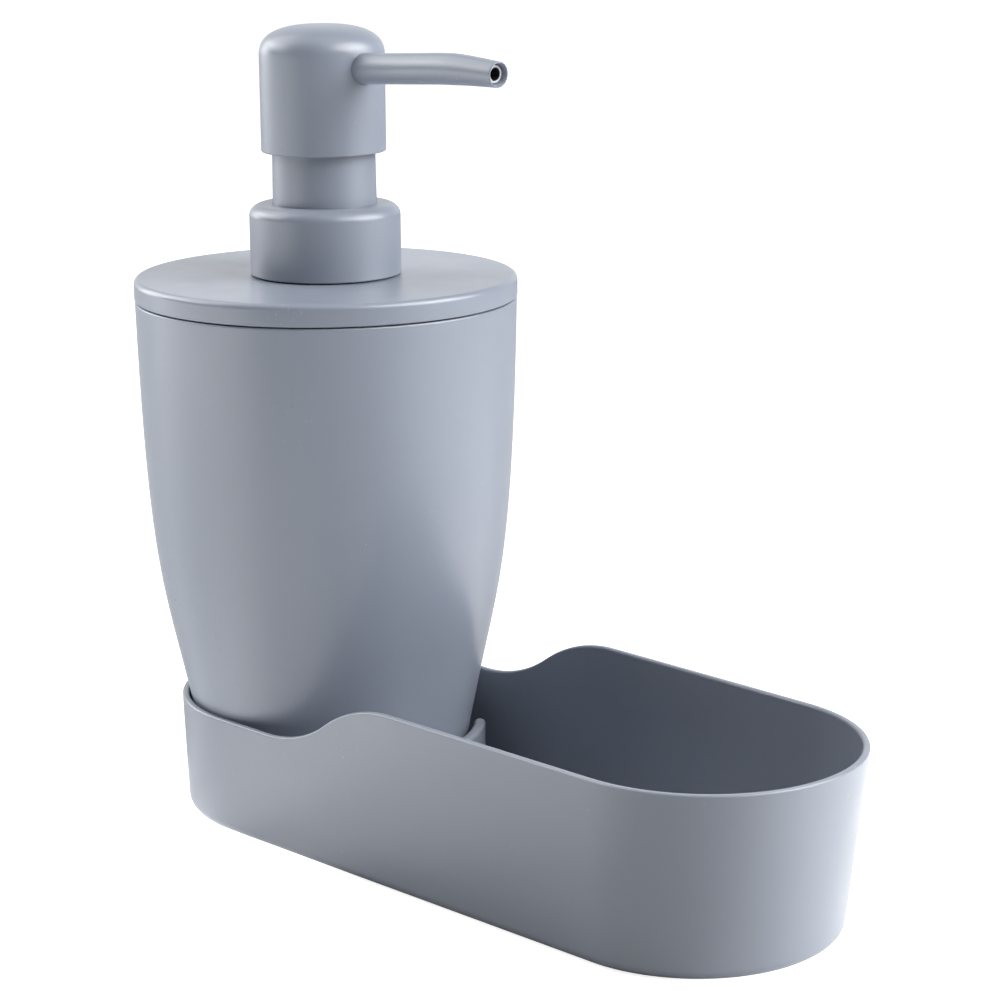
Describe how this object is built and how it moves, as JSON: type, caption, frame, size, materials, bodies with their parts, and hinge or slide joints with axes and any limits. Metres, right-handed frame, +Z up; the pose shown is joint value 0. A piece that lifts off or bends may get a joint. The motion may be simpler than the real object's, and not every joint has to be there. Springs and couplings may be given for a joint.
{
  "type": "soap dispenser with sponge caddy",
  "caption": "Flared cup with a flat lid and a press-down lotion pump, standing in an oblong caddy whose rim steps up round an open sponge compartment.",
  "frame": {"origin": "where the cup's axis meets the surface the caddy stands on", "axes": "+Z up; +X along the caddy towards the sponge compartment, the way the spout points; +Y to the caddy's back long side"},
  "size_m": [0.1945, 0.088, 0.1832],
  "materials": {
    "caddy_plastic": "satin",
    "cup_plastic": "satin",
    "lid_plastic": "satin",
    "closure_plastic": "satin",
    "head_plastic": "satin",
    "natural_plastic": "satin",
    "piston_plastic": "satin",
    "tube_plastic": "clear",
    "seal_rubber": "matte",
    "spring_steel": "bright"
  },
  "bodies": {
    "caddy": {"caddy": "caddy_plastic"},
    "cup": {"cup": "cup_plastic"},
    "lid": {"lid": "lid_plastic", "lid_seal": "seal_rubber"},
    "pump": {"pump_housing": "natural_plastic", "gasket": "seal_rubber", "chaplet": "natural_plastic", "neck_sleeve": "closure_plastic", "dip_tube": "tube_plastic"},
    "collar": {"collar_shell": "closure_plastic", "collar_nut": "natural_plastic"},
    "return_spring": {"spring": "spring_steel"},
    "head": {"stem": "natural_plastic", "stem_valve": "natural_plastic", "actuator_core": "natural_plastic", "head_shell": "head_plastic", "spout": "head_plastic", "spout_liner": "natural_plastic"},
    "piston": {"piston": "piston_plastic"},
    "inlet_ball": {"inlet_ball": "spring_steel"}
  },
  "joints": [
    {"name": "cup_lift", "type": "slide", "parent": "caddy", "child": "cup", "axis": [0, 0, 1], "range_m": [0, 0.06]},
    {"name": "lid_lift", "type": "slide", "parent": "cup", "child": "lid", "axis": [0, 0, 1], "range_m": [0, 0.13]},
    {"name": "pump_rise", "type": "slide", "parent": "lid", "child": "pump", "axis": [0, 0, 1], "range_m": [0, 0.0065]},
    {"name": "collar_turn", "type": "hinge", "parent": "pump", "child": "collar", "pos_m": [0, 0, 0.135], "axis": [0, 0, 1], "range_deg": [0, 540]},
    {"name": "head_turn", "type": "hinge", "parent": "pump", "child": "return_spring", "pos_m": [0, 0, 0.158], "axis": [0, 0, 1], "continuous": true},
    {"name": "head_press", "type": "slide", "parent": "return_spring", "child": "head", "axis": [0, 0, -1], "range_m": [0, 0.0112], "stiffness_N_per_m": 500, "springref_m": -0.015, "deforming": ["spring"]},
    {"name": "piston_slip", "type": "slide", "parent": "head", "child": "piston", "axis": [0, 0, 1], "range_m": [0, 0.0012]},
    {"name": "ball_lift", "type": "slide", "parent": "pump", "child": "inlet_ball", "axis": [0, 0, 1], "range_m": [0, 0.0015]}
  ],
  "couplings": [
    {"joint": "pump_rise", "follows": "collar_turn", "m_per_rad": 0.000673}
  ]
}
